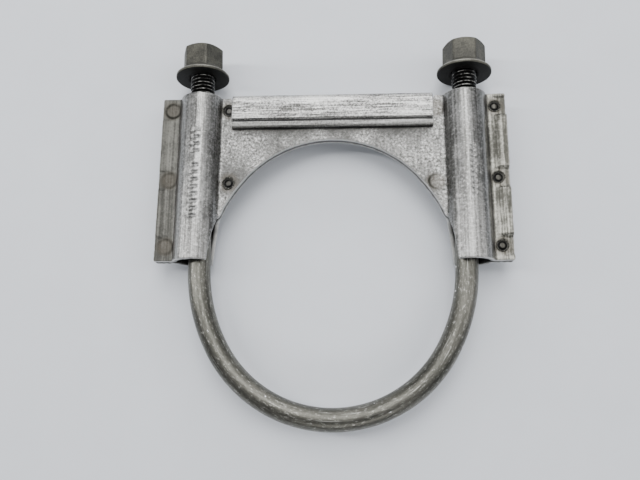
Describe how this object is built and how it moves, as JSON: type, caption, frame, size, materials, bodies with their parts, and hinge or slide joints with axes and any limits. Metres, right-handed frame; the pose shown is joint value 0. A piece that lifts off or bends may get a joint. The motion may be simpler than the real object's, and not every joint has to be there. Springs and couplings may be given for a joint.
{
  "type": "u-bolt pipe clamp",
  "caption": "Exhaust pipe clamp: a U-bolt slides in the tubes of a pressed and welded saddle, and flange nuts on its threaded ends draw it up round the pipe.",
  "frame": {"origin": "on the pipe's axis, halfway through the saddle's web", "axes": "+Z along the pipe's axis, +Y along the U-bolt's legs towards the nuts, +X across the clamp to the right; the clamp lies flat, with its back tubes and nut flanges down"},
  "size_m": [0.137, 0.1521, 0.0216],
  "materials": {
    "saddle_steel": "bare pressed steel, satin, handling marks and heat tint at the welds",
    "cap_steel": "bare steel, brushed along its length",
    "weld_metal": "heat-darkened fused steel",
    "rod_steel": "dark drawn steel, satin, oiled, scratched lengthwise",
    "nut_steel": "black oxide, matt, worn on its edges"
  },
  "bodies": {
    "saddle": {"saddle_front": "saddle_steel", "saddle_back": "saddle_steel", "saddle_cap": "cap_steel", "strip_welds": "weld_metal", "web_welds": "weld_metal"},
    "u_bolt": {"u_bolt": "rod_steel"},
    "nut_left": {"nut_left": "nut_steel"},
    "nut_right": {"nut_right": "nut_steel"}
  },
  "joints": [
    {"name": "u_bolt_slide", "type": "slide", "parent": "saddle", "child": "u_bolt", "axis": [0, 1, 0], "range_m": [-0.0091, 0.0137]},
    {"name": "nut_left_turn", "type": "hinge", "parent": "u_bolt", "child": "nut_left", "pos_m": [-0.05332, 0.0723, 0], "axis": [0.0314, -0.9995, 0], "continuous": true},
    {"name": "nut_right_turn", "type": "hinge", "parent": "u_bolt", "child": "nut_right", "pos_m": [0.05332, 0.0723, 0], "axis": [-0.0314, -0.9995, 0], "continuous": true}
  ]
}
